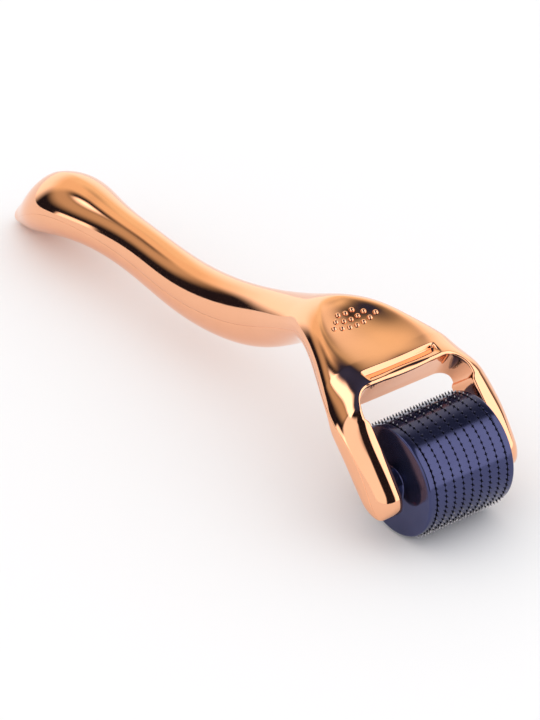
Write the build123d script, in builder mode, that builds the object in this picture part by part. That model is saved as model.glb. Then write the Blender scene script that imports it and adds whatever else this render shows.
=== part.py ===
"""A derma roller: a plated handle in two shells that holds a free-turning drum of needle discs.

+Z is up and X is the drum's axis. The handle lies along Y, with the drum at the -Y end.
The origin is under the middle of the object, on the surface that it stands on.
Millimetres throughout.
"""
import os
from math import cos, pi, sin

from build123d import *

# Drum
needle_tip_radius = 11.0
drum_radius = 10.5
drum_width = 19.2
pitch = 1.985
disc_count = 9
disc_thickness = 0.25
disc_root_radius = 9.9
needles_per_disc = 60
needle_base_width = 0.5
core_radius = 5.0
key_count = 4
key_width = 1.6
key_height = 1.0
cap_socket_depth = 1.0
collar_radius = 3.2
collar_height = 2.1
shaft_clearance = 0.05

# Axle
axle_radius = 1.0
axle_hold = 2.4
axle_end_chamfer = 0.2

# Handle
total_length = 142.0
handle_half_width = 16.3
arm_inner = 12.2
arm_tip_radius = 3.95
arm_tip_y, arm_tip_z = -3.1, 8.5
arm_slant = 57.2
edge_softness = 0.62
wall = 1.6

# Window between the arms: its wall leans back from the top edge to the lower edge
window_top_y, window_top_z = 8.3, 27.5
window_foot_y, window_foot_z = 11.8, 20.9
window_corner = 4.5

# Thumb pad: a shallow dish with grip dots behind a straight lip
dish_radius = 17.0
dish_y, dish_z = 20.6, 45.4
ledge_depth = 0.9
ledge_back_y = 11.2
dot_radius = 0.55
dot_pitch = 1.57
dot_rows = ((7, 22.7, 28.5), (5, 24.5, 28.8), (3, 26.4, 29.3))

# Places that follow from the dimensions above
roller_y = needle_tip_radius - total_length / 2
roller_z = needle_tip_radius
ring_width = pitch - disc_thickness
cap_width = (drum_width - (disc_count - 1) * pitch - disc_thickness) / 2
axle_length = 2 * (arm_inner + axle_hold)

# Stations along the handle, from the arm tips to the tail.
# Each is: distance behind the drum's axis, height, half width, half thickness.
stations = (
    (-5.8, 4.3, handle_half_width, 3.95),
    (-3.1, 8.5, handle_half_width, 3.95),
    (-0.5, 11.3, handle_half_width, 3.7),
    (1.9, 14.9, handle_half_width, 3.05),
    (4.7, 18.9, handle_half_width, 2.75),
    (7.2, 22.2, handle_half_width, 2.8),
    (10.2, 24.1, 16.0, 3.4),
    (14.5, 24.8, 14.6, 3.7),
    (20.0, 25.6, 11.4, 3.9),
    (26.0, 27.2, 7.5, 4.0),
    (30.5, 27.2, 5.7, 4.2),
    (35.0, 24.9, 5.0, 4.4),
    (40.0, 21.6, 5.0, 4.7),
    (50.0, 16.6, 5.3, 5.6),
    (62.0, 12.9, 5.4, 5.9),
    (75.0, 11.4, 5.2, 5.5),
    (90.0, 11.9, 4.95, 5.1),
    (102.0, 12.2, 6.1, 5.5),
    (112.0, 10.9, 7.8, 6.5),
    (120.0, 7.4, 7.6, 6.1),
    (125.8, 4.6, 5.9, 4.9),
    (129.93, 3.0, 3.0, 3.0),
)
grip_stations = stations[11:20]


def station_plane(row, index):
    """The cross plane at one station, square to the line between its two neighbours."""
    before = row[max(index - 1, 0)]
    after = row[min(index + 1, len(row) - 1)]
    along = Vector(0, after[0] - before[0], after[1] - before[1])
    y, z = row[index][0], row[index][1]
    return Plane(origin=(0, roller_y + y, z), x_dir=(1, 0, 0), z_dir=along)


def disc_outline():
    """The needle disc's edge: a narrow pointed tooth at every step round the root circle."""
    half_base = needle_base_width / 2 / disc_root_radius
    points = []
    for k in range(needles_per_disc):
        angle = 2 * pi * k / needles_per_disc - pi / 2
        for turn, radius in ((-half_base, disc_root_radius), (0, needle_tip_radius), (half_base, disc_root_radius)):
            points.append((radius * cos(angle + turn), radius * sin(angle + turn)))
    return points


def drum_plane(x):
    """A plane square to the drum's axis, at x."""
    return Plane(origin=(x, roller_y, roller_z), x_dir=(0, 1, 0), z_dir=(1, 0, 0))


# --- What is trimmed off to round the arm tips ---
with BuildPart() as tip_waste:
    with BuildSketch(Plane(origin=(0, roller_y + arm_tip_y, arm_tip_z), x_dir=(0, 1, 0), z_dir=(1, 0, 0))):
        with Locations(Rotation(0, 0, arm_slant)):
            with Locations((-10, 0)):
                Rectangle(20, 20)
        Circle(arm_tip_radius, mode=Mode.SUBTRACT)
    extrude(amount=30, both=True)

# --- Handle blank: one smooth body from the arm tips to the tail ---
with BuildPart() as blank:
    for index, (y, z, half_width, half_thick) in enumerate(stations):
        with BuildSketch(station_plane(stations, index)):
            softness = edge_softness + 0.3 * (1 - half_width / handle_half_width)
            RectangleRounded(2 * half_width, 2 * half_thick, softness * min(half_width, half_thick))
    loft()
    # Round arm tips: what lies past the tip's centre and outside its circle goes
    add(tip_waste.part, mode=Mode.SUBTRACT)
    # The tail stands on a small flat foot
    split(bisect_by=Plane.XY, keep=Keep.TOP)

# --- The space between the arms, with round inner corners at the bridge ---
with BuildPart() as window:
    lean = Vector(0, window_top_y - window_foot_y, window_top_z - window_foot_z)
    reach = 50.0
    with BuildSketch(Plane(origin=(0, roller_y + window_foot_y, window_foot_z), x_dir=(1, 0, 0), z_dir=lean)):
        with Locations((0, -reach / 2)):
            Rectangle(2 * arm_inner, reach)
        fillet(vertices().group_by(Axis.Y)[-1], window_corner)
    extrude(amount=reach, both=True)

# --- The hollow inside the grip ---
with BuildPart() as hollow:
    for index, (y, z, half_width, half_thick) in enumerate(grip_stations):
        with BuildSketch(station_plane(grip_stations, index)):
            Ellipse(half_width - wall, half_thick - wall)
    loft()

# --- The finished handle, still in one piece ---
with BuildPart() as handle:
    add(blank.part)
    add(window.part, mode=Mode.SUBTRACT)
    add(hollow.part, mode=Mode.SUBTRACT)
    # Thumb dish
    with Locations((0, roller_y + dish_y, dish_z)):
        Sphere(dish_radius, mode=Mode.SUBTRACT)
    # Ledge in front of the lip
    with Locations((0, roller_y + ledge_back_y - 10, window_top_z + 10 - ledge_depth + 0.4)):
        Box(2 * 7.7, 20, 20, mode=Mode.SUBTRACT)
    # Sockets for the axle's ends
    with Locations(Plane(origin=(0, roller_y, roller_z), z_dir=(1, 0, 0))):
        Cylinder(axle_radius, axle_length, mode=Mode.SUBTRACT)
    # Grip dots
    for count, y, z in dot_rows:
        with Locations((0, roller_y + y, z)):
            with GridLocations(dot_pitch, 1, count, 1):
                Sphere(dot_radius)

# --- Everything above the crease that runs down the handle's sides ---
with BuildPart() as upper_zone:
    with BuildSketch(Plane.YZ):
        with BuildLine():
            crease = Spline(*[(roller_y + y, z) for y, z, _, _ in stations])
            start, end = crease @ 0, crease @ 1
            out_front = start - (crease % 0) * 12
            out_back = end + (crease % 1) * 12
            Line(start, out_front)
            Polyline(out_front, (out_front.X - 20, 60), (out_back.X + 20, 60), out_back)
            Line(out_back, end)
        make_face()
    extrude(amount=40, both=True)

with BuildPart() as upper_shell:
    add(handle.part)
    add(upper_zone.part, mode=Mode.INTERSECT)
upper_shell.part.label = "upper_shell"

with BuildPart() as lower_shell:
    add(handle.part)
    add(upper_zone.part, mode=Mode.SUBTRACT)
lower_shell.part.label = "lower_shell"

# --- Axle: a plain steel pin held in both arms ---
with BuildPart() as axle:
    with Locations(Plane(origin=(0, roller_y, roller_z), z_dir=(1, 0, 0))):
        Cylinder(axle_radius, axle_length)
    chamfer(edges().filter_by(GeomType.CIRCLE), axle_end_chamfer)
axle.part.label = "axle"

# --- Keyed core: every ring and disc slides on to it, and the keys stop them from turning ---
with BuildSketch() as key_section:
    Circle(core_radius)
    with PolarLocations(core_radius, key_count):
        Rectangle(2 * key_height, key_width)

core_length = drum_width - 2 * cap_width + 2 * cap_socket_depth
with BuildPart() as core:
    with BuildSketch(drum_plane(-core_length / 2)):
        add(key_section.sketch)
        Circle(axle_radius + shaft_clearance, mode=Mode.SUBTRACT)
    extrude(amount=core_length)
core.part.label = "core"

# --- End caps: a flat outer face with a collar that keeps the drum off the arm ---
end_caps = []
for name, side in (("end_cap_left", -1), ("end_cap_right", 1)):
    inner = side * (drum_width / 2 - cap_width)
    with BuildPart() as end_cap:
        with BuildSketch(drum_plane(inner)):
            Circle(drum_radius)
        extrude(amount=side * cap_width)
        chamfer(edges().group_by(Axis.X)[0 if side < 0 else -1], 0.4)
        with BuildSketch(drum_plane(side * drum_width / 2)):
            Circle(collar_radius)
        extrude(amount=side * collar_height)
        with BuildSketch(drum_plane(inner)):
            add(key_section.sketch)
        extrude(amount=side * cap_socket_depth, mode=Mode.SUBTRACT)
        with BuildSketch(drum_plane(inner)):
            Circle(axle_radius + shaft_clearance)
        extrude(amount=side * (cap_width + collar_height), mode=Mode.SUBTRACT)
    end_cap.part.label = name
    end_caps.append(end_cap.part)

# --- Needle discs, with a spacer ring between each two ---
needle_discs = []
for k in range(disc_count):
    x = (k - (disc_count - 1) / 2) * pitch - disc_thickness / 2
    with BuildPart() as needle_disc:
        with BuildSketch(drum_plane(x)):
            with BuildLine():
                Polyline(*disc_outline(), close=True)
            make_face()
            add(key_section.sketch, mode=Mode.SUBTRACT)
        extrude(amount=disc_thickness)
    needle_disc.part.label = f"needle_disc_{k + 1}"
    needle_discs.append(needle_disc.part)

spacer_rings = []
for k in range(disc_count - 1):
    x = (k - (disc_count - 2) / 2) * pitch - ring_width / 2
    with BuildPart() as spacer_ring:
        with BuildSketch(drum_plane(x)):
            Circle(drum_radius)
            add(key_section.sketch, mode=Mode.SUBTRACT)
        extrude(amount=ring_width)
    spacer_ring.part.label = f"spacer_ring_{k + 1}"
    spacer_rings.append(spacer_ring.part)

os.makedirs("parts", exist_ok=True)
pieces = [upper_shell.part, lower_shell.part, axle.part, core.part]
for piece in pieces + end_caps + needle_discs + spacer_rings:
    export_step(piece, f"parts/{piece.label}.step")
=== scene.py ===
# %% [markdown]
# # A derma roller and its looks
#
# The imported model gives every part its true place: two handle shells, an axle, and a drum of rings and needle
# discs. This notebook keeps that frame and gives each visible part the surface of the real one. First it loads
# the frame and reads where the drum's axis lies, because every shape below is measured from that axis.

import bmesh
import bpy
import numpy as np
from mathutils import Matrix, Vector


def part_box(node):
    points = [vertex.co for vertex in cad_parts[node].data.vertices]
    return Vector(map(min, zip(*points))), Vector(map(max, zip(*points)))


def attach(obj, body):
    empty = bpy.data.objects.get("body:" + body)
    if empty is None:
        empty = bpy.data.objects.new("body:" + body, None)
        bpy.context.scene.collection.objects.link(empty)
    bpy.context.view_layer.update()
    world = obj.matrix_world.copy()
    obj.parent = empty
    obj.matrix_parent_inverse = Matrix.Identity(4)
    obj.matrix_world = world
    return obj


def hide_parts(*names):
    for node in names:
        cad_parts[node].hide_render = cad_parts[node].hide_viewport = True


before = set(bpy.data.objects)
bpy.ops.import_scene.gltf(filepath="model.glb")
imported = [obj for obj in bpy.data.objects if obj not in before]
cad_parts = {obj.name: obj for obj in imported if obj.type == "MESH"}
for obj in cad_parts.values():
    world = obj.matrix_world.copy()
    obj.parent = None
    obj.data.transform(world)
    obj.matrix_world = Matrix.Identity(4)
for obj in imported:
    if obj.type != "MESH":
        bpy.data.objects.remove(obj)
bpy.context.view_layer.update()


MM = 0.001
core_low, core_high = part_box("core")
axis_y = (core_low[1] + core_high[1]) / 2 / MM
axis_z = (core_low[2] + core_high[2]) / 2 / MM

# %% [markdown]
# ## Small helpers
#
# A surface here is a grid of points, so one helper turns several grids into one mesh, welds the rows that they
# share and puts the object on its body. Another adds one node to a material with its settings and links. The
# last turns a colour picked on a screen, which is stored brighter than light really adds up, into linear light.


# %% Grids to meshes
def grid_faces(rows, columns, start=0, wrap=False):
    """The four-sided faces of a grid of rows by columns points, whose first point has the number start."""
    i = np.arange(rows - 1)[:, None] * columns
    j = np.arange(columns if wrap else columns - 1)[None, :]
    k = (j + 1) % columns
    return np.stack([i + j, i + k, i + columns + k, i + columns + j], axis=-1).reshape(-1, 4) + start


weld = 0.004


def make_piece(name, patches, material, body):
    """One smooth object from patches, each a grid of points in mm (rows, columns, 3) and whether it wraps.

    Points closer than weld, in mm, are joined, faces with no area go and every face is turned outwards. Shading
    stays smooth except over edges sharper than 60 degrees.
    """
    starts = np.cumsum([0] + [grid.shape[0] * grid.shape[1] for grid, _ in patches])
    points = np.concatenate([grid.reshape(-1, 3) for grid, _ in patches]) * MM
    faces = np.concatenate([grid_faces(*grid.shape[:2], start, wrap)
                            for (grid, wrap), start in zip(patches, starts)])
    mesh = bpy.data.meshes.new(name)
    mesh.from_pydata(points.tolist(), [], faces.tolist())
    shape = bmesh.new()
    shape.from_mesh(mesh)
    bmesh.ops.remove_doubles(shape, verts=shape.verts, dist=weld * MM)
    bmesh.ops.dissolve_degenerate(shape, edges=shape.edges, dist=weld * MM / 10)
    bmesh.ops.recalc_face_normals(shape, faces=shape.faces)
    open_edges = sum(1 for edge in shape.edges if edge.is_boundary)
    shape.to_mesh(mesh)
    shape.free()
    mesh.polygons.foreach_set("use_smooth", np.ones(len(mesh.polygons), dtype=bool))
    mesh.set_sharp_from_angle(angle=np.radians(60))
    mesh.materials.append(material)
    piece = bpy.data.objects.new(name, mesh)
    bpy.context.scene.collection.objects.link(piece)
    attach(piece, body)
    print(name, len(mesh.vertices), "points,", len(mesh.polygons), "faces,", open_edges, "open edges")
    return piece


# %% Nodes and colours
def add_node(tree, kind, sockets=None, **settings):
    """Adds a node: settings are its properties, and sockets gives an input a value or an output to link."""
    node = tree.nodes.new(kind)
    for key, value in settings.items():
        setattr(node, key, value)
    for key, value in (sockets or {}).items():
        if isinstance(value, bpy.types.NodeSocket):
            tree.links.new(value, node.inputs[key])
        else:
            node.inputs[key].default_value = value
    return node


def linear(hex_colour):
    """An sRGB colour such as "F0B496" as linear red, green, blue and alpha."""
    shares = np.array([int(hex_colour[i:i + 2], 16) / 255 for i in (0, 2, 4)])
    light = np.where(shares <= 0.04045, shares / 12.92, ((shares + 0.055) / 1.055) ** 2.4)
    return (*light.tolist(), 1.0)


# %% [markdown]
# ## Camera and floor
#
# The roller lies on a pale floor and is seen from its front left, about a third of a right angle above it,
# through a long lens from 0.7 m, so that its far end looks almost as large as its near end.

# %% Camera
view_azimuth, view_elevation, view_distance = np.radians(-37.02), np.radians(32.66), 700.0
aim = Vector((-17.45, axis_y + 25.55, axis_z + 15.43))
towards_camera = Vector((np.sin(view_azimuth) * np.cos(view_elevation),
                         -np.cos(view_azimuth) * np.cos(view_elevation), np.sin(view_elevation)))
lens = bpy.data.cameras.new("camera")
lens.lens, lens.sensor_width = 197.15, 36.0
lens.clip_start, lens.clip_end = 0.01, 20.0
camera = bpy.data.objects.new("camera", lens)
camera.location = (aim + towards_camera * view_distance) * MM
camera.rotation_mode = "QUATERNION"
camera.rotation_quaternion = (-towards_camera).to_track_quat("-Z", "Y")
bpy.context.scene.collection.objects.link(camera)
bpy.context.scene.camera = camera
bpy.context.scene.view_settings.view_transform = "Standard"

# %% Floor
floor_half = 450.0
card = bpy.data.materials.new("matt_white_card")
card.use_nodes = True
card_shader = card.node_tree.nodes["Principled BSDF"]
card_shader.inputs["Base Color"].default_value = linear("F5F4F3")
card_shader.inputs["Roughness"].default_value = 0.9
span = np.linspace(-floor_half, floor_half, 3)
floor_x, floor_y = np.meshgrid(span, span)
floor_points = np.stack([floor_x, floor_y, 0 * floor_x], axis=-1).reshape(-1, 3) * MM
floor_mesh = bpy.data.meshes.new("floor")
floor_mesh.from_pydata(floor_points.tolist(), [], grid_faces(3, 3).tolist())
floor_mesh.materials.append(card)
floor = bpy.data.objects.new("floor", floor_mesh)
bpy.context.scene.collection.objects.link(floor)

# %% [markdown]
# ## The studio
#
# A mirror finish shows the room more than itself, so the room matters as much as the paint. It is painted on
# the world as boxes of light, each a span of compass directions and heights with soft edges. White boxes stand
# to the right of the camera and to the left, with a dark gap between them where the camera is, and the gaps
# give the black streaks that make chrome look like chrome. A row of warm lamps stands low behind the roller, a
# small bright one hangs above the left, the ceiling is a deep blue and the floor is white. Only mirrors see
# this room: matt surfaces get an even white light instead, so that the floor stays plain.

# %% Room directions
world = bpy.data.worlds.new("studio")
bpy.context.scene.world = world
world.use_nodes = True
room = world.node_tree
room.nodes.clear()
direction = add_node(room, "ShaderNodeTexCoord").outputs["Generated"]
compass = add_node(room, "ShaderNodeSeparateXYZ", {0: direction})
to_degrees = 180 / np.pi
height = add_node(room, "ShaderNodeMath", {
    0: add_node(room, "ShaderNodeMath", {0: compass.outputs["Z"]}, operation="ARCSINE").outputs[0],
    1: to_degrees}, operation="MULTIPLY").outputs[0]
bearing = add_node(room, "ShaderNodeMath", {
    0: add_node(room, "ShaderNodeMath", {0: compass.outputs["X"], 1: compass.outputs["Y"]},
                operation="ARCTAN2").outputs[0],
    1: to_degrees}, operation="MULTIPLY").outputs[0]


# %% Boxes of light
def light_box(before, colour, strength, bearings, heights, soft=(4, 4, 4, 4)):
    """Adds strength times colour to before, inside a span of bearings and heights, in degrees.

    Bearings count from +Y towards +X. The share of light is the product of four smooth steps, one at each edge:
    left, right, bottom and top. Each step is twice as wide as its number in soft.
    """
    edges = [(bearing, bearings[0], soft[0]), (bearing, bearings[1], -soft[1]),
             (height, heights[0], soft[2]), (height, heights[1], -soft[3])]
    share = 1.0
    for angle, edge, width in edges:
        fade = add_node(room, "ShaderNodeMapRange", {
            "Value": angle, "From Min": edge - width, "From Max": edge + width},
            interpolation_type="SMOOTHSTEP")
        share = add_node(room, "ShaderNodeMath", {
            0: share, 1: fade.outputs["Result"]}, operation="MULTIPLY").outputs[0]
    shining = [strength * c for c in linear(colour)[:3]]
    return add_node(room, "ShaderNodeVectorMath", {
        0: shining, 1: share, 2: before}, operation="MULTIPLY_ADD").outputs[0]


unlit, whole_turn = (0.014, 0.013, 0.022), (-200, 200)
light = light_box(unlit, "FFFBF8", 1.9, (99, 166), (-3, 58), (3, 3, 1, 2))
light = light_box(light, "FFFBF8", 1.25, (-147, -78), (-3, 46), (4, 4, 1, 6))
light = light_box(light, "FFFAF4", 1.7, (-80, -56), (-3, 8), (3, 3, 1, 2))
light = light_box(light, "FFEBC4", 1.0, (-16, 14), (22, 58), (8, 8, 9, 6))
light = light_box(light, "FFEBC4", 0.6, (-75, -16), (22, 42), (10, 8, 9, 6))
light = light_box(light, "FFFBF8", 2.3, (-100, -29), (44, 64), (5, 4, 4, 5))
light = light_box(light, "FFF2CC", 1.05, (14, 46), (22, 53), (8, 10, 9, 13))
light = light_box(light, "FFF4DC", 1.1, (46, 95), (22, 42), (10, 10, 9, 14))
light = light_box(light, "FFF8EE", 1.4, (-12, 84), (-3, 22), (10, 14, 1, 10))
light = light_box(light, "2C3F70", 1.0, whole_turn, (66, 95), (1, 1, 12, 1))
light = light_box(light, "FFFCFA", 0.9, whole_turn, (-95, -3), (1, 1, 1, 1))
mirrored = add_node(room, "ShaderNodeLightPath").outputs["Is Glossy Ray"]
even_white = (1.12, 1.12, 1.14, 1.0)
light = add_node(room, "ShaderNodeMix", {0: mirrored, 6: even_white, 7: light}, data_type="RGBA").outputs[2]
background = add_node(room, "ShaderNodeBackground", {"Color": light, "Strength": 1.0})
add_node(room, "ShaderNodeOutputWorld", {"Surface": background.outputs[0]})
print("studio has", len(room.nodes), "nodes")

# %% [markdown]
# ## The handle's skin
#
# The handle is one sculpted bar: it starts as two arms beside the drum, closes into a broad head with a thumb
# pad, narrows to a waist, swells into a grip and ends in a paddle-shaped tail. Stations along it give the
# height of the seam between the two shells, how far the section leans, its half width, how high it rises
# above the seam and drops below it, and how square each side is. A smooth curve through each column of numbers
# fills in the rest. Lengths are in mm from the drum's axis (y) and from the floor (z).

# %% Stations
#   y      z    lean   half   rise  drop  top  under
stations = np.array([
    (-5.8, 4.3, 57, 16.45, 3.6, 4.3, 2.7, 3.6),
    (-3.2, 8.6, 57, 16.45, 3.4, 4.6, 2.7, 4.0),
    (-1.2, 12.1, 57, 16.45, 3.0, 5.4, 2.6, 5.0),
    (1.2, 15.6, 57, 16.45, 2.65, 5.9, 2.5, 5.4),
    (4.6, 18.8, 55, 16.45, 2.85, 5.5, 2.3, 5.2),
    (8.2, 21.0, 45, 16.3, 4.1, 4.0, 2.1, 4.6),
    (11.2, 22.1, 28, 15.5, 5.7, 2.5, 2.1, 4.0),
    (14.7, 23.3, 9, 14.2, 5.75, 2.4, 2.25, 3.5),
    (20.0, 25.0, 4, 11.8, 5.0, 3.25, 2.4, 3.0),
    (26.0, 26.5, -3, 9.35, 4.15, 3.75, 2.2, 2.7),
    (30.3, 26.2, -15, 7.9, 3.95, 3.85, 1.9, 2.4),
    (34.6, 24.2, -27, 6.7, 4.2, 4.0, 1.9, 2.1),
    (40.0, 21.5, -31, 5.8, 4.5, 4.6, 2.0, 2.0),
    (50.0, 16.6, -23, 4.95, 5.7, 5.7, 2.0, 2.0),
    (62.0, 12.9, -12, 4.9, 6.15, 6.15, 2.0, 2.0),
    (75.0, 11.5, -1, 4.85, 5.75, 6.0, 2.0, 2.0),
    (90.0, 12.2, 3, 4.65, 5.2, 5.7, 2.0, 2.0),
    (102.0, 12.5, 0, 5.75, 5.4, 5.75, 1.8, 2.1),
    (112.0, 11.9, -14, 7.5, 6.3, 6.6, 1.65, 2.15),
    (120.0, 8.1, -24, 7.0, 5.75, 5.4, 1.65, 2.2),
    (126.0, 3.9, -26, 4.6, 3.5, 3.2, 1.8, 2.3),
    (130.0, 1.5, -26, 3.0, 1.8, 1.5, 1.9, 2.3)])


def smooth_curve(knots, values, at):
    """A natural cubic spline: cubic pieces through the knots that agree in slope and bend where they meet."""
    gaps = np.diff(knots)
    count = len(knots)
    system, right_side = np.eye(count), np.zeros((count, values.shape[1]))
    inner = np.arange(1, count - 1)
    system[inner, inner - 1], system[inner, inner + 1] = gaps[:-1], gaps[1:]
    system[inner, inner] = 2 * (gaps[:-1] + gaps[1:])
    slopes = np.diff(values, axis=0) / gaps[:, None]
    right_side[1:-1] = 6 * np.diff(slopes, axis=0)
    bends = np.linalg.solve(system, right_side)
    i = np.clip(np.searchsorted(knots, at) - 1, 0, count - 2)
    a = ((knots[i + 1] - at) / gaps[i])[:, None]
    b, gap = 1 - a, gaps[i][:, None]
    return a * values[i] + b * values[i + 1] + ((a**3 - a) * bends[i] + (b**3 - b) * bends[i + 1]) * gap**2 / 6


run = np.concatenate([[0], np.cumsum(np.hypot(*np.diff(stations[:, :2], axis=0).T))])
print("handle path is", round(run[-1], 1), "mm long")

# %% [markdown]
# ## Rows along the handle
#
# Between the arms is a window with rounded corners. Its edge is a line in the same two parameters: it follows
# each arm, turns a quarter circle into the head and runs straight across. Rows are placed so that they meet
# that line: close together round the corner and over the head, wider apart along the grip. Both ends close in a
# quarter circle, and the arms' inner sides step in a little beside the drum.

# %% Rows and the window's edge
arm_inner, arm_step, edge_round = 12.2, 0.6, 0.45
corner = 3.4
bridge = run[6] - 0.35
corner_start = bridge - corner
tip_centre, tip_radius, tip_narrowing = run[1] + 2.2, 3.9, 1.5
tail_start, tail_radius = run[-1] - 1.0, 1.9
blend_length = 12
corner_turn = np.linspace(0, np.pi / 2, 16)
end_turn = np.linspace(0, np.pi / 2, 14)
along = np.concatenate([
    tip_centre - tip_radius * np.cos(end_turn),
    np.arange(tip_centre + 0.5, corner_start - 0.3, 0.5),
    corner_start + (corner + edge_round) * np.sin(corner_turn),
    bridge + edge_round + np.arange(0.08, 3.6, 0.08),
    np.arange(bridge + edge_round + 3.7, run[11], 0.22),
    np.arange(run[11] + 0.3, tail_start - 0.3, 0.9),
    tail_start + tail_radius * np.sin(end_turn)])
first_bridge_row = int(np.argmin(np.abs(along - bridge - edge_round)))
level = smooth_curve(run, stations, along)
tip_share = np.sqrt(np.clip(1 - ((tip_centre - along) / tip_radius).clip(0) ** 2, 0, 1))
tail_share = np.sqrt(np.clip(1 - ((along - tail_start) / tail_radius).clip(0) ** 2, 0, 1))
ends = np.minimum(tip_share, tail_share)
half_width = level[:, 3] * np.clip(tail_share, 0.0001, 1) - tip_narrowing * (1 - tip_share)
corner_across = np.sqrt(np.clip((corner + edge_round) ** 2 - (along - corner_start).clip(0) ** 2, 0, None))
step_at = corner_start - 0.5
inner_edge = np.where(along <= corner_start, arm_inner + edge_round, arm_inner - corner + corner_across)
inner_edge = inner_edge - arm_step * (along < step_at) * np.clip((step_at - along) / 0.6, 0, 1)
beyond = along > bridge + edge_round + 1e-6
share_of_width = (arm_inner - corner) / half_width[first_bridge_row]
blend_in = np.clip((along - bridge - edge_round) / blend_length, 0, 1)
crown_edge = (arm_inner - corner) * (1 - blend_in) + share_of_width * half_width * blend_in
inner_edge = np.where(beyond, crown_edge, inner_edge)
groove = (0.02 + 0.08 * np.clip((run[9] - along) / blend_length, 0, 1)) * tail_share
print(len(along), "rows; the window ends", round(bridge, 2), "mm along")

# %% [markdown]
# ## A point on the skin
#
# A section is half a superellipse above the seam and half below: an ellipse whose power, 2 for a true ellipse,
# is raised to make the shoulders squarer. On the arms the curve starts only some way out, at the flat's edge. A
# point at x across stands up from the seam by the section's height, and the section leans, so that it follows
# the bar as it bends.

# %% Section and place
ridge, arm_flat = 0.045, 11.8


def step(value, start, end):
    """Smooth step from 0 at start to 1 at end: t cubed times (10 - 15 t + 6 t squared), so bends match too."""
    t = np.clip((value - start) / (end - start), 0, 1)
    return t**3 * (10 - 15 * t + 6 * t * t)


def section(where):
    """Seam y and z, lean, then height, power and flat as pairs of top and underside, at places on the path."""
    y, z, lean, _, rise, drop, top, under = smooth_curve(run, stations, where).T
    flat = arm_flat * (1 - step(where, run[5] - 1, run[7]))
    return y, z, np.radians(lean), (rise, drop), (top, under), (flat, 0 * flat)


def stand(x, wide, tall, power, flat):
    """Height above the seam at x across: tall times (1 - t ^ power) ^ (1 / power), less its value at the side.

    t is how far x is from the flat's edge towards a place a little beyond the side, from 0 to 1, so that on the
    arms the surface meets the seam at a slant and makes a ridge there.
    """
    t = np.clip((np.abs(x) - flat) / (wide + ridge * flat - flat), 0, 1)
    t_side = (wide - flat) / (wide + ridge * flat - flat)
    at_side = (1 - t_side**power) ** (1 / power)
    return tall * np.clip((1 - t**power) ** (1 / power) - at_side, 0, None) / (1 - at_side)


def place(x, up, y, z, lean):
    """A point up from the seam, square to the path: back by up sin(lean) and higher by up cos(lean)."""
    spot = np.stack(np.broadcast_arrays(x, y - up * np.sin(lean) + axis_y, z + up * np.cos(lean)), axis=-1)
    spot[..., 2] = spot[..., 2].clip(0)
    return spot


# %% [markdown]
# ## The thumb pad
#
# The head's top is scooped out where the thumb presses. The scoop is deepest in the middle, ends in a soft
# ridge at its sides and fades towards the grip. In front it stops at a straight lip, and below the lip is a
# narrow ledge, which falls back a little from the window's edge.

# %% Scoop, lip and ledge
scoop_depth, scoop_middle = 1.9, 22.7
bell_to_lip, bell_to_grip, fade_from, fade_to = 12.0, 6.5, 29, 33
pad_half, pad_widest, pad_taper, foot_round = 8.5, 16, 0.029, 0.15
lip_y, lip_half, ledge_y, ledge_z, ledge_fall = 11.2, 7.7, 8.6, 27.0, 0.14
seam_y, _, seam_lean, (seam_rise, _), _, _ = section(along)
lip_at = np.interp(lip_y, seam_y - seam_rise * np.sin(seam_lean), along)
print("the lip is", round(float(lip_at), 2), "mm along")


def scooped(spot, where):
    """Lowers points of the head's top by the scoop, then cuts the ledge in front of the lip.

    The scoop is a bell along the handle times a parabola across it, with the parabola's foot rounded.
    """
    x, y, z = spot[..., 0], spot[..., 1] - axis_y, spot[..., 2]
    bell = np.exp(-((y - scoop_middle) / np.where(y < scoop_middle, bell_to_lip, bell_to_grip)) ** 2)
    bell = bell * (1 - step(y, fade_from, fade_to))
    wide = np.clip(pad_half - pad_taper * (y - pad_widest) ** 2, 0.8, None)
    parabola = foot_round * np.logaddexp(0, (1 - (x / wide) ** 2) / foot_round)
    z = z - scoop_depth * bell * parabola
    before_lip = 1 - step(where, lip_at - 0.28, lip_at + 0.04)
    between_ends = 1 - step(np.abs(x), lip_half - 0.2, lip_half + 0.6)
    above_ledge = np.clip(z - ledge_z + ledge_fall * (y - ledge_y), 0, None)
    z = z - above_ledge * before_lip * between_ends * (y > 5)
    return np.stack([x, spot[..., 1], z], axis=-1)


# %% [markdown]
# ## The two shells
#
# Each shell is made of grids that share their edges: one down each side from the seam to the window's edge,
# one over the middle of the head and the grip, one for the wall round the window with its small rounded edge,
# and flat ones that close the shell where the two halves meet. The first points beside the seam turn in by
# a tenth of a millimetre, which leaves the fine groove that shows where two mouldings meet. At the arms' tips
# the halves stand a little apart and leave a short slot.

# %% Shell grids
flank_columns, crown_columns, wall_columns, roll_columns = 26, 79, 12, 6
slot_half_gap, slot_length = 0.16, 2.2


def slot_gap(where):
    """Half the gap between the shells: a short slot at the arms' tips that closes smoothly."""
    return slot_half_gap * (1 - step(where, along[0], along[0] + slot_length))


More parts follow.
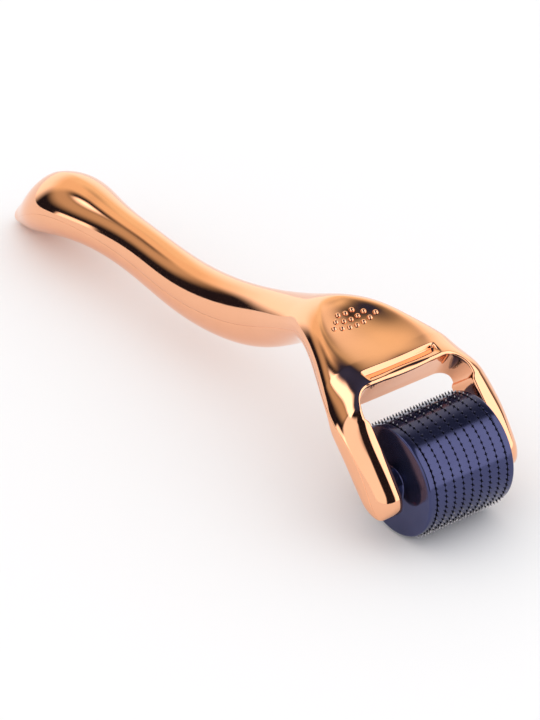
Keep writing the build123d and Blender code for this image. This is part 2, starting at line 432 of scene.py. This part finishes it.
def shell_patches(side):
    """The grids of the upper (0) or lower (1) shell, on both sides of the middle.

    The flank goes in equal steps of the angle a, with x across equal to cos(a) ^ (2 / power) of the way out.
    """
    sign = 1 - 2 * side
    y, z, lean, heights, powers, flats = section(along)
    y, z, lean, wide, inner = [value[:, None] for value in (y, z, lean, half_width, inner_edge)]
    tall, power, flat = [value[side][:, None] for value in (heights, powers, flats)]
    tall = tall * ends[:, None]
    finish_shape = scooped if side == 0 else (lambda spot, where: spot)
    gap = slot_gap(along)[:, None]
    last_angle = np.arccos(np.clip((inner - flat) / (wide - flat), 0, 1) ** (power / 2))
    angle = last_angle * np.linspace(0.09, 1, flank_columns)[None, :]
    x = flat + (wide - flat) * np.cos(angle) ** (2 / power)
    x[:, -1:] = inner
    up = stand(x, wide, tall, power, flat)
    turned_in = groove[:, None] * np.array([1.0, 0.45, 0.08])[None, :]
    first_up = np.minimum(np.array([0.15, 0.6, 1.2])[None, :] * groove[:, None], up[:, :1] * [[0.1, 0.4, 0.8]])
    first_x = wide + (x[:, :1] - wide) * first_up / np.maximum(up[:, :1], 0.01) - turned_in
    x = np.concatenate([first_x, x], axis=1)
    up = np.concatenate([first_up, up], axis=1)
    flank = finish_shape(place(x, sign * (up + gap), y, z, lean), along[:, None])

    after = slice(first_bridge_row, None)
    across = inner[after] * np.linspace(-1, 1, crown_columns)[None, :]
    crown_up = stand(across, wide[after], tall[after], power[after], flat[after])
    crown = finish_shape(place(across, sign * crown_up, y[after], z[after], lean[after]), along[after][:, None])

    turn = np.zeros(first_bridge_row + 1)
    turn[-len(corner_turn):] = corner_turn
    straight_run = np.ones(crown_columns - 2)
    edge_s = np.concatenate([along[:first_bridge_row + 1], straight_run * along[first_bridge_row],
                             along[first_bridge_row::-1]])
    edge_x = np.concatenate([-inner_edge[:first_bridge_row + 1], across[0, 1:-1],
                             inner_edge[first_bridge_row::-1]])
    into_s = np.concatenate([np.sin(turn), straight_run, np.sin(turn[::-1])])
    into_x = np.concatenate([-np.cos(turn), 0 * straight_run, np.cos(turn[::-1])])
    arm_up = stand(inner, wide, tall, power, flat)[:first_bridge_row + 1, 0]
    edge_tall = np.concatenate([arm_up, crown_up[0, 1:-1], arm_up[::-1]])
    roll = np.linspace(0, np.pi / 2, roll_columns)[None, :]
    inset = np.concatenate([edge_round * np.sin(roll), np.full((1, wall_columns), edge_round)], axis=1)
    wall_s = edge_s[:, None] - into_s[:, None] * inset
    wall_x = edge_x[:, None] - into_x[:, None] * inset
    rounding = np.minimum(edge_round, edge_tall * 0.5)[:, None]
    rolled = edge_tall[:, None] - rounding * (1 - np.cos(roll))
    down = np.linspace(1 / wall_columns, 1, wall_columns)[None, :]
    straight = (edge_tall[:, None] - rounding) * (1 - down)
    wall_up = np.concatenate([rolled, straight], axis=1)
    wy, wz, wlean = [value.reshape(wall_s.shape) for value in section(wall_s.ravel())[:3]]
    wall = place(wall_x, sign * (wall_up + slot_gap(wall_s)), wy, wz, wlean)
    lowered = finish_shape(wall[:, :1], edge_s[:, None])[..., 2] - wall[:, :1, 2]
    wall[..., 2] += lowered * wall_up / np.maximum(edge_tall[:, None], 1e-6)

    foot = wall[:, -1]
    beyond_feet = place(inner[after], 0 * inner[after], y[after], z[after], lean[after])[1:, 0]
    right_feet = np.concatenate([foot[::-1][:first_bridge_row + 1], beyond_feet])
    lid = place(across, 0 * across, y[after], z[after], lean[after])
    lid[0] = foot[first_bridge_row:first_bridge_row + crown_columns]
    mirror = np.array([-1, 1, 1])
    side_lid = np.stack([flank[:, 0], right_feet], axis=1)
    # At an arm's tip the lid narrows to a point, and a fan from one point closes the slivers round the end.
    side_lid[0, 0] = side_lid[0, 1]
    tip_line = np.concatenate([flank[0], wall[-1]])
    tip_fan = np.stack([tip_line, np.broadcast_to(flank[1, 0], tip_line.shape)])
    return [(flank, False), (flank * mirror, False), (crown, False), (wall, False), (lid, False),
            (side_lid, False), (side_lid * mirror, False), (tip_fan, False), (tip_fan * mirror, False)]


# %% [markdown]
# ## Grip dots
#
# Fifteen small domes stand on the thumb pad in three rows, in the shape of a fan. Each is a quarter circle
# turned about its own axis, and its foot is sunk a little into the pad.

# %% Dots
dot_radius, dot_pitch, dot_sink = 0.6, 1.57, 0.14
#            count, y, bow
dot_rows = [(7, 23.7, 0.85), (5, 25.2, 0.6), (3, 26.6, 0.3)]


def dot_patches(pad):
    """One grid for each dome: rings at radius r cos(a) and height r sin(a), set on the nearest point of pad.

    The first ring is a point at the height of the foot, which closes the dome below.
    """
    patches = []
    rise = np.linspace(-0.5, np.pi / 2, 7)[:, None]
    width = np.concatenate([[[0]], np.cos(rise)]) * dot_radius
    tall = np.concatenate([rise[:1], rise])
    around = np.linspace(0, 2 * np.pi, 16, endpoint=False)[None, :]
    for count, row_y, bow in dot_rows:
        for number in range(count):
            x = (number - (count - 1) / 2) * dot_pitch
            y = axis_y + row_y - bow * (1 - (2 * x / (dot_pitch * count)) ** 2)
            near = np.argmin((pad[..., 0] - x) ** 2 + (pad[..., 1] - y) ** 2)
            z = pad.reshape(-1, 3)[near, 2] - dot_sink
            dome = np.broadcast_arrays(x + width * np.cos(around), y + width * np.sin(around),
                                       z + dot_radius * np.sin(tall))
            patches.append((np.stack(dome, axis=-1), True))
    return patches


# %% [markdown]
# ## Rose gold plated plastic
#
# The shells are moulded ABS plated with a thin layer of metal, polished, in rose gold. It is a mirror: the
# metal tints everything that it reflects. Moulded plastic is never quite flat, so a shallow waviness of a few
# millimetres bends the reflections, and handling leaves faint smears that dull the shine in places.

# %% Plated finish
def new_material(name):
    """A material with nodes, its tree, its shader, and the object's own coordinates."""
    material = bpy.data.materials.new(name)
    material.use_nodes = True
    tree = material.node_tree
    return material, tree, tree.nodes["Principled BSDF"], add_node(tree, "ShaderNodeTexCoord").outputs["Object"]


plated, tree, shader, spot = new_material("rose_gold_plated_abs")
shader.inputs["Metallic"].default_value = 1.0
waves = add_node(tree, "ShaderNodeTexNoise", {"Vector": spot, "Scale": 1 / (6 * MM), "Detail": 1.0})
smears = add_node(tree, "ShaderNodeTexNoise", {
    "Vector": spot, "Scale": 1 / (9 * MM), "Detail": 4.0, "Roughness": 0.6})
tint = add_node(tree, "ShaderNodeMix", {
    0: smears.outputs["Fac"], 6: linear("F8BA93"), 7: linear("F2B18A")}, data_type="RGBA")
dulled = add_node(tree, "ShaderNodeMapRange", {
    "Value": smears.outputs["Fac"], "From Min": 0.35, "From Max": 0.75, "To Min": 0.045, "To Max": 0.10})
bend = add_node(tree, "ShaderNodeBump", {
    "Height": waves.outputs["Fac"], "Strength": 0.5, "Distance": 0.03 * MM})
tree.links.new(tint.outputs[2], shader.inputs["Base Color"])
tree.links.new(dulled.outputs["Result"], shader.inputs["Roughness"])
tree.links.new(bend.outputs["Normal"], shader.inputs["Normal"])

# %% Build the shells
upper_patches = shell_patches(0)
crown_grid = upper_patches[2][0]
upper = make_piece("plated_upper_shell", upper_patches + dot_patches(crown_grid), plated, "handle")
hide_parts("upper_shell")
lower = make_piece("plated_lower_shell", shell_patches(1), plated, "handle")
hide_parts("lower_shell")

# %% [markdown]
# ## The drum's rings and caps
#
# The drum is a stack: end cap, needle disc, spacer ring, needle disc and so on. The rings are turned shapes
# with a small radius on each edge. A disc's teeth stand in a slot between two rings, and the rings touch each
# other between the teeth, so each row shows as a dashed line. The profile of a ring is carried once round the
# axle, and its side faces move in at each of the sixty teeth.

# %% Ring function
drum_radius, ring_bore, row_pitch, teeth = 10.5, 6.2, 1.985, 60
slot_half, bridge_half, notch_depth, ring_edge = 0.11, 0.015, 0.55, 0.05
row_x = (np.arange(9) - 4) * row_pitch


def swept(x, radius, turn):
    """Points at x along the drum's axis and radius out from it, at each angle of turn."""
    turn = turn[:, None]
    return np.stack(np.broadcast_arrays(
        x, axis_y - radius * np.cos(turn), axis_z + radius * np.sin(turn)), axis=-1)


def notched(x_low, x_high):
    """A ring round the drum's axis: a closed profile carried round, with both sides notched at the teeth.

    A side stands bridge_half from the row's plane between teeth and slot_half from it at a tooth, with a steep
    smooth step between, and goes back to the slot's depth below notch_depth.
    """
    turn = np.linspace(0, 2 * np.pi, teeth * 8, endpoint=False)
    phase = np.abs((turn * teeth / (2 * np.pi)) % 1 - 0.5) * 2
    at_tooth = step(phase, 0.28, 0.52)[:, None]
    lows = x_low + (bridge_half + (slot_half - bridge_half) * at_tooth)
    highs = x_high - (bridge_half + (slot_half - bridge_half) * at_tooth)
    edge_angle = np.linspace(0, np.pi / 2, 4)
    rounding_in = ring_edge * np.append(1 - np.cos(edge_angle), 1.8)
    top = np.append(drum_radius - ring_edge + ring_edge * np.sin(edge_angle), drum_radius)
    low_edge = lows + rounding_in
    high_edge = highs - rounding_in[::-1]
    foot_low = np.full((len(turn), 2), x_low + slot_half)
    foot_high = np.full((len(turn), 2), x_high - slot_half)
    x = np.concatenate([foot_low, lows, low_edge, high_edge, highs, foot_high], axis=1)
    deep = drum_radius - notch_depth
    radius = np.concatenate([[ring_bore, deep, deep], top, top[::-1], [deep, deep, ring_bore]])
    grid = swept(x, radius, turn)
    return np.concatenate([grid, grid[:1]])


def turned(profile):
    """A lathe shape: the closed profile of (x, radius) rows carried once round the drum's axis."""
    return swept(profile[:, 0], profile[:, 1], np.linspace(0, 2 * np.pi, 193))


# %% [markdown]
# ## Indigo metallic plastic
#
# Rings, caps and core are moulded in a dark indigo plastic with a metallic pigment and a glossy face, so that
# a lamp shows in them as a lavender bar. Each ring is turned a little differently from the next, and fine
# moulding marks run round it.

# %% Drum finish
indigo, tree, shader, spot = new_material("indigo_metallic_abs")
shader.inputs["Metallic"].default_value = 0.85
flow = add_node(tree, "ShaderNodeTexNoise", {"Vector": spot, "Scale": 1 / (4 * MM), "Detail": 3.0})
grain = add_node(tree, "ShaderNodeTexNoise", {"Vector": spot, "Scale": 1 / (0.4 * MM), "Detail": 2.0})
tint = add_node(tree, "ShaderNodeMix", {
    0: flow.outputs["Fac"], 6: linear("3D4064"), 7: linear("484C70")}, data_type="RGBA")
gloss = add_node(tree, "ShaderNodeMapRange", {
    "Value": flow.outputs["Fac"], "From Min": 0.3, "From Max": 0.7, "To Min": 0.13, "To Max": 0.2})
bend = add_node(tree, "ShaderNodeBump", {
    "Height": grain.outputs["Fac"], "Strength": 0.25, "Distance": 0.01 * MM})
tree.links.new(tint.outputs[2], shader.inputs["Base Color"])
tree.links.new(gloss.outputs["Result"], shader.inputs["Roughness"])
tree.links.new(bend.outputs["Normal"], shader.inputs["Normal"])

# %% Build rings and caps
for number in range(8):
    ring_grid = notched(row_x[number], row_x[number + 1])
    ring = make_piece(f"indigo_ring_{number + 1}", [(ring_grid, True)], indigo, "roller")
    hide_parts(f"spacer_ring_{number + 1}")

cap_inner, cap_face, collar_radius, collar_end, bore = 8.09, 9.58, 3.2, 11.65, 1.05
inner_edge_radius, outer_edge_radius, foot_radius, end_radius = 0.12, 0.4, 0.5, 0.3
edge_turn = np.linspace(0, np.pi / 2, 7)
swing, lift = 1 - np.cos(edge_turn), 1 - np.sin(edge_turn)
cap_profile = np.concatenate([
    [(cap_inner, bore), (cap_inner, drum_radius - 0.5)],
    np.stack([cap_inner + inner_edge_radius * swing, drum_radius - inner_edge_radius * lift], axis=1),
    np.stack([cap_face - outer_edge_radius * lift, drum_radius - outer_edge_radius * swing], axis=1),
    [(cap_face, 7.0), (cap_face, collar_radius + foot_radius)],
    np.stack([cap_face + foot_radius * swing, collar_radius + foot_radius * lift], axis=1),
    np.stack([collar_end - end_radius * lift, collar_radius - end_radius * swing], axis=1),
    [(collar_end, bore)]])
for label, sign in (("left", -1), ("right", 1)):
    cap = make_piece(f"indigo_cap_{label}", [(turned(cap_profile * (sign, 1)), True)], indigo, "roller")
    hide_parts(f"end_cap_{label}")

# %% [markdown]
# ## Needles, axle and core
#
# The needle discs, the axle and the core keep their CAD shapes. Discs are stamped from stainless steel. Their
# colour is painted near-black below their points, by distance from the axle. This is painted shade for the dark
# slots between the rings that they stand in, so only the points show the steel's own colour.

# %% Steel finishes
steel, tree, shader, spot = new_material("stamped_steel_painted_slot_shade")
shader.inputs["Metallic"].default_value = 1.0
shader.inputs["Roughness"].default_value = 0.25
from_axle = add_node(tree, "ShaderNodeVectorMath", {
    0: spot, 1: (0, axis_y * MM, axis_z * MM)}, operation="SUBTRACT")
flat = add_node(tree, "ShaderNodeVectorMath", {0: from_axle.outputs[0], 1: (0, 1, 1)}, operation="MULTIPLY")
distance = add_node(tree, "ShaderNodeVectorMath", {0: flat.outputs[0]}, operation="LENGTH")
# Painted shade: near-black colour within 10.65 mm of the axle, fading to the steel's colour by 11 mm, stands in
# for the shade in the slots
painted_slot_shade_reach = add_node(tree, "ShaderNodeMapRange", {
    "Value": distance.outputs["Value"], "From Min": 10.65 * MM, "From Max": 11.0 * MM})
marks = add_node(tree, "ShaderNodeTexNoise", {"Vector": spot, "Scale": 1 / (0.3 * MM), "Detail": 2.0})
bright = add_node(tree, "ShaderNodeMix", {
    0: marks.outputs["Fac"], 6: linear("77767E"), 7: linear("A3A1A6")}, data_type="RGBA")
shade = add_node(tree, "ShaderNodeMix", {
    0: painted_slot_shade_reach.outputs["Result"], 6: linear("0B0B12"), 7: bright.outputs[2]}, data_type="RGBA")
tree.links.new(shade.outputs[2], shader.inputs["Base Color"])
for number in range(9):
    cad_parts[f"needle_disc_{number + 1}"].material_slots[0].material = steel

ground, tree, shader, spot = new_material("ground_steel_pin")
shader.inputs["Metallic"].default_value = 1.0
long_marks = add_node(tree, "ShaderNodeMapping", {
    "Vector": spot, "Scale": (1 / (2 * MM), 1 / (0.1 * MM), 1 / (0.1 * MM))})
marks = add_node(tree, "ShaderNodeTexNoise", {"Vector": long_marks.outputs[0], "Scale": 1.0, "Detail": 3.0})
tint = add_node(tree, "ShaderNodeMix", {
    0: marks.outputs["Fac"], 6: linear("A9A8A6"), 7: linear("CDCBC8")}, data_type="RGBA")
rough = add_node(tree, "ShaderNodeMapRange", {"Value": marks.outputs["Fac"], "To Min": 0.2, "To Max": 0.4})
tree.links.new(tint.outputs[2], shader.inputs["Base Color"])
tree.links.new(rough.outputs["Result"], shader.inputs["Roughness"])
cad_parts["axle"].material_slots[0].material = ground
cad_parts["core"].material_slots[0].material = indigo
print("materials", sorted(material.name for material in (plated, indigo, steel, ground, card)))
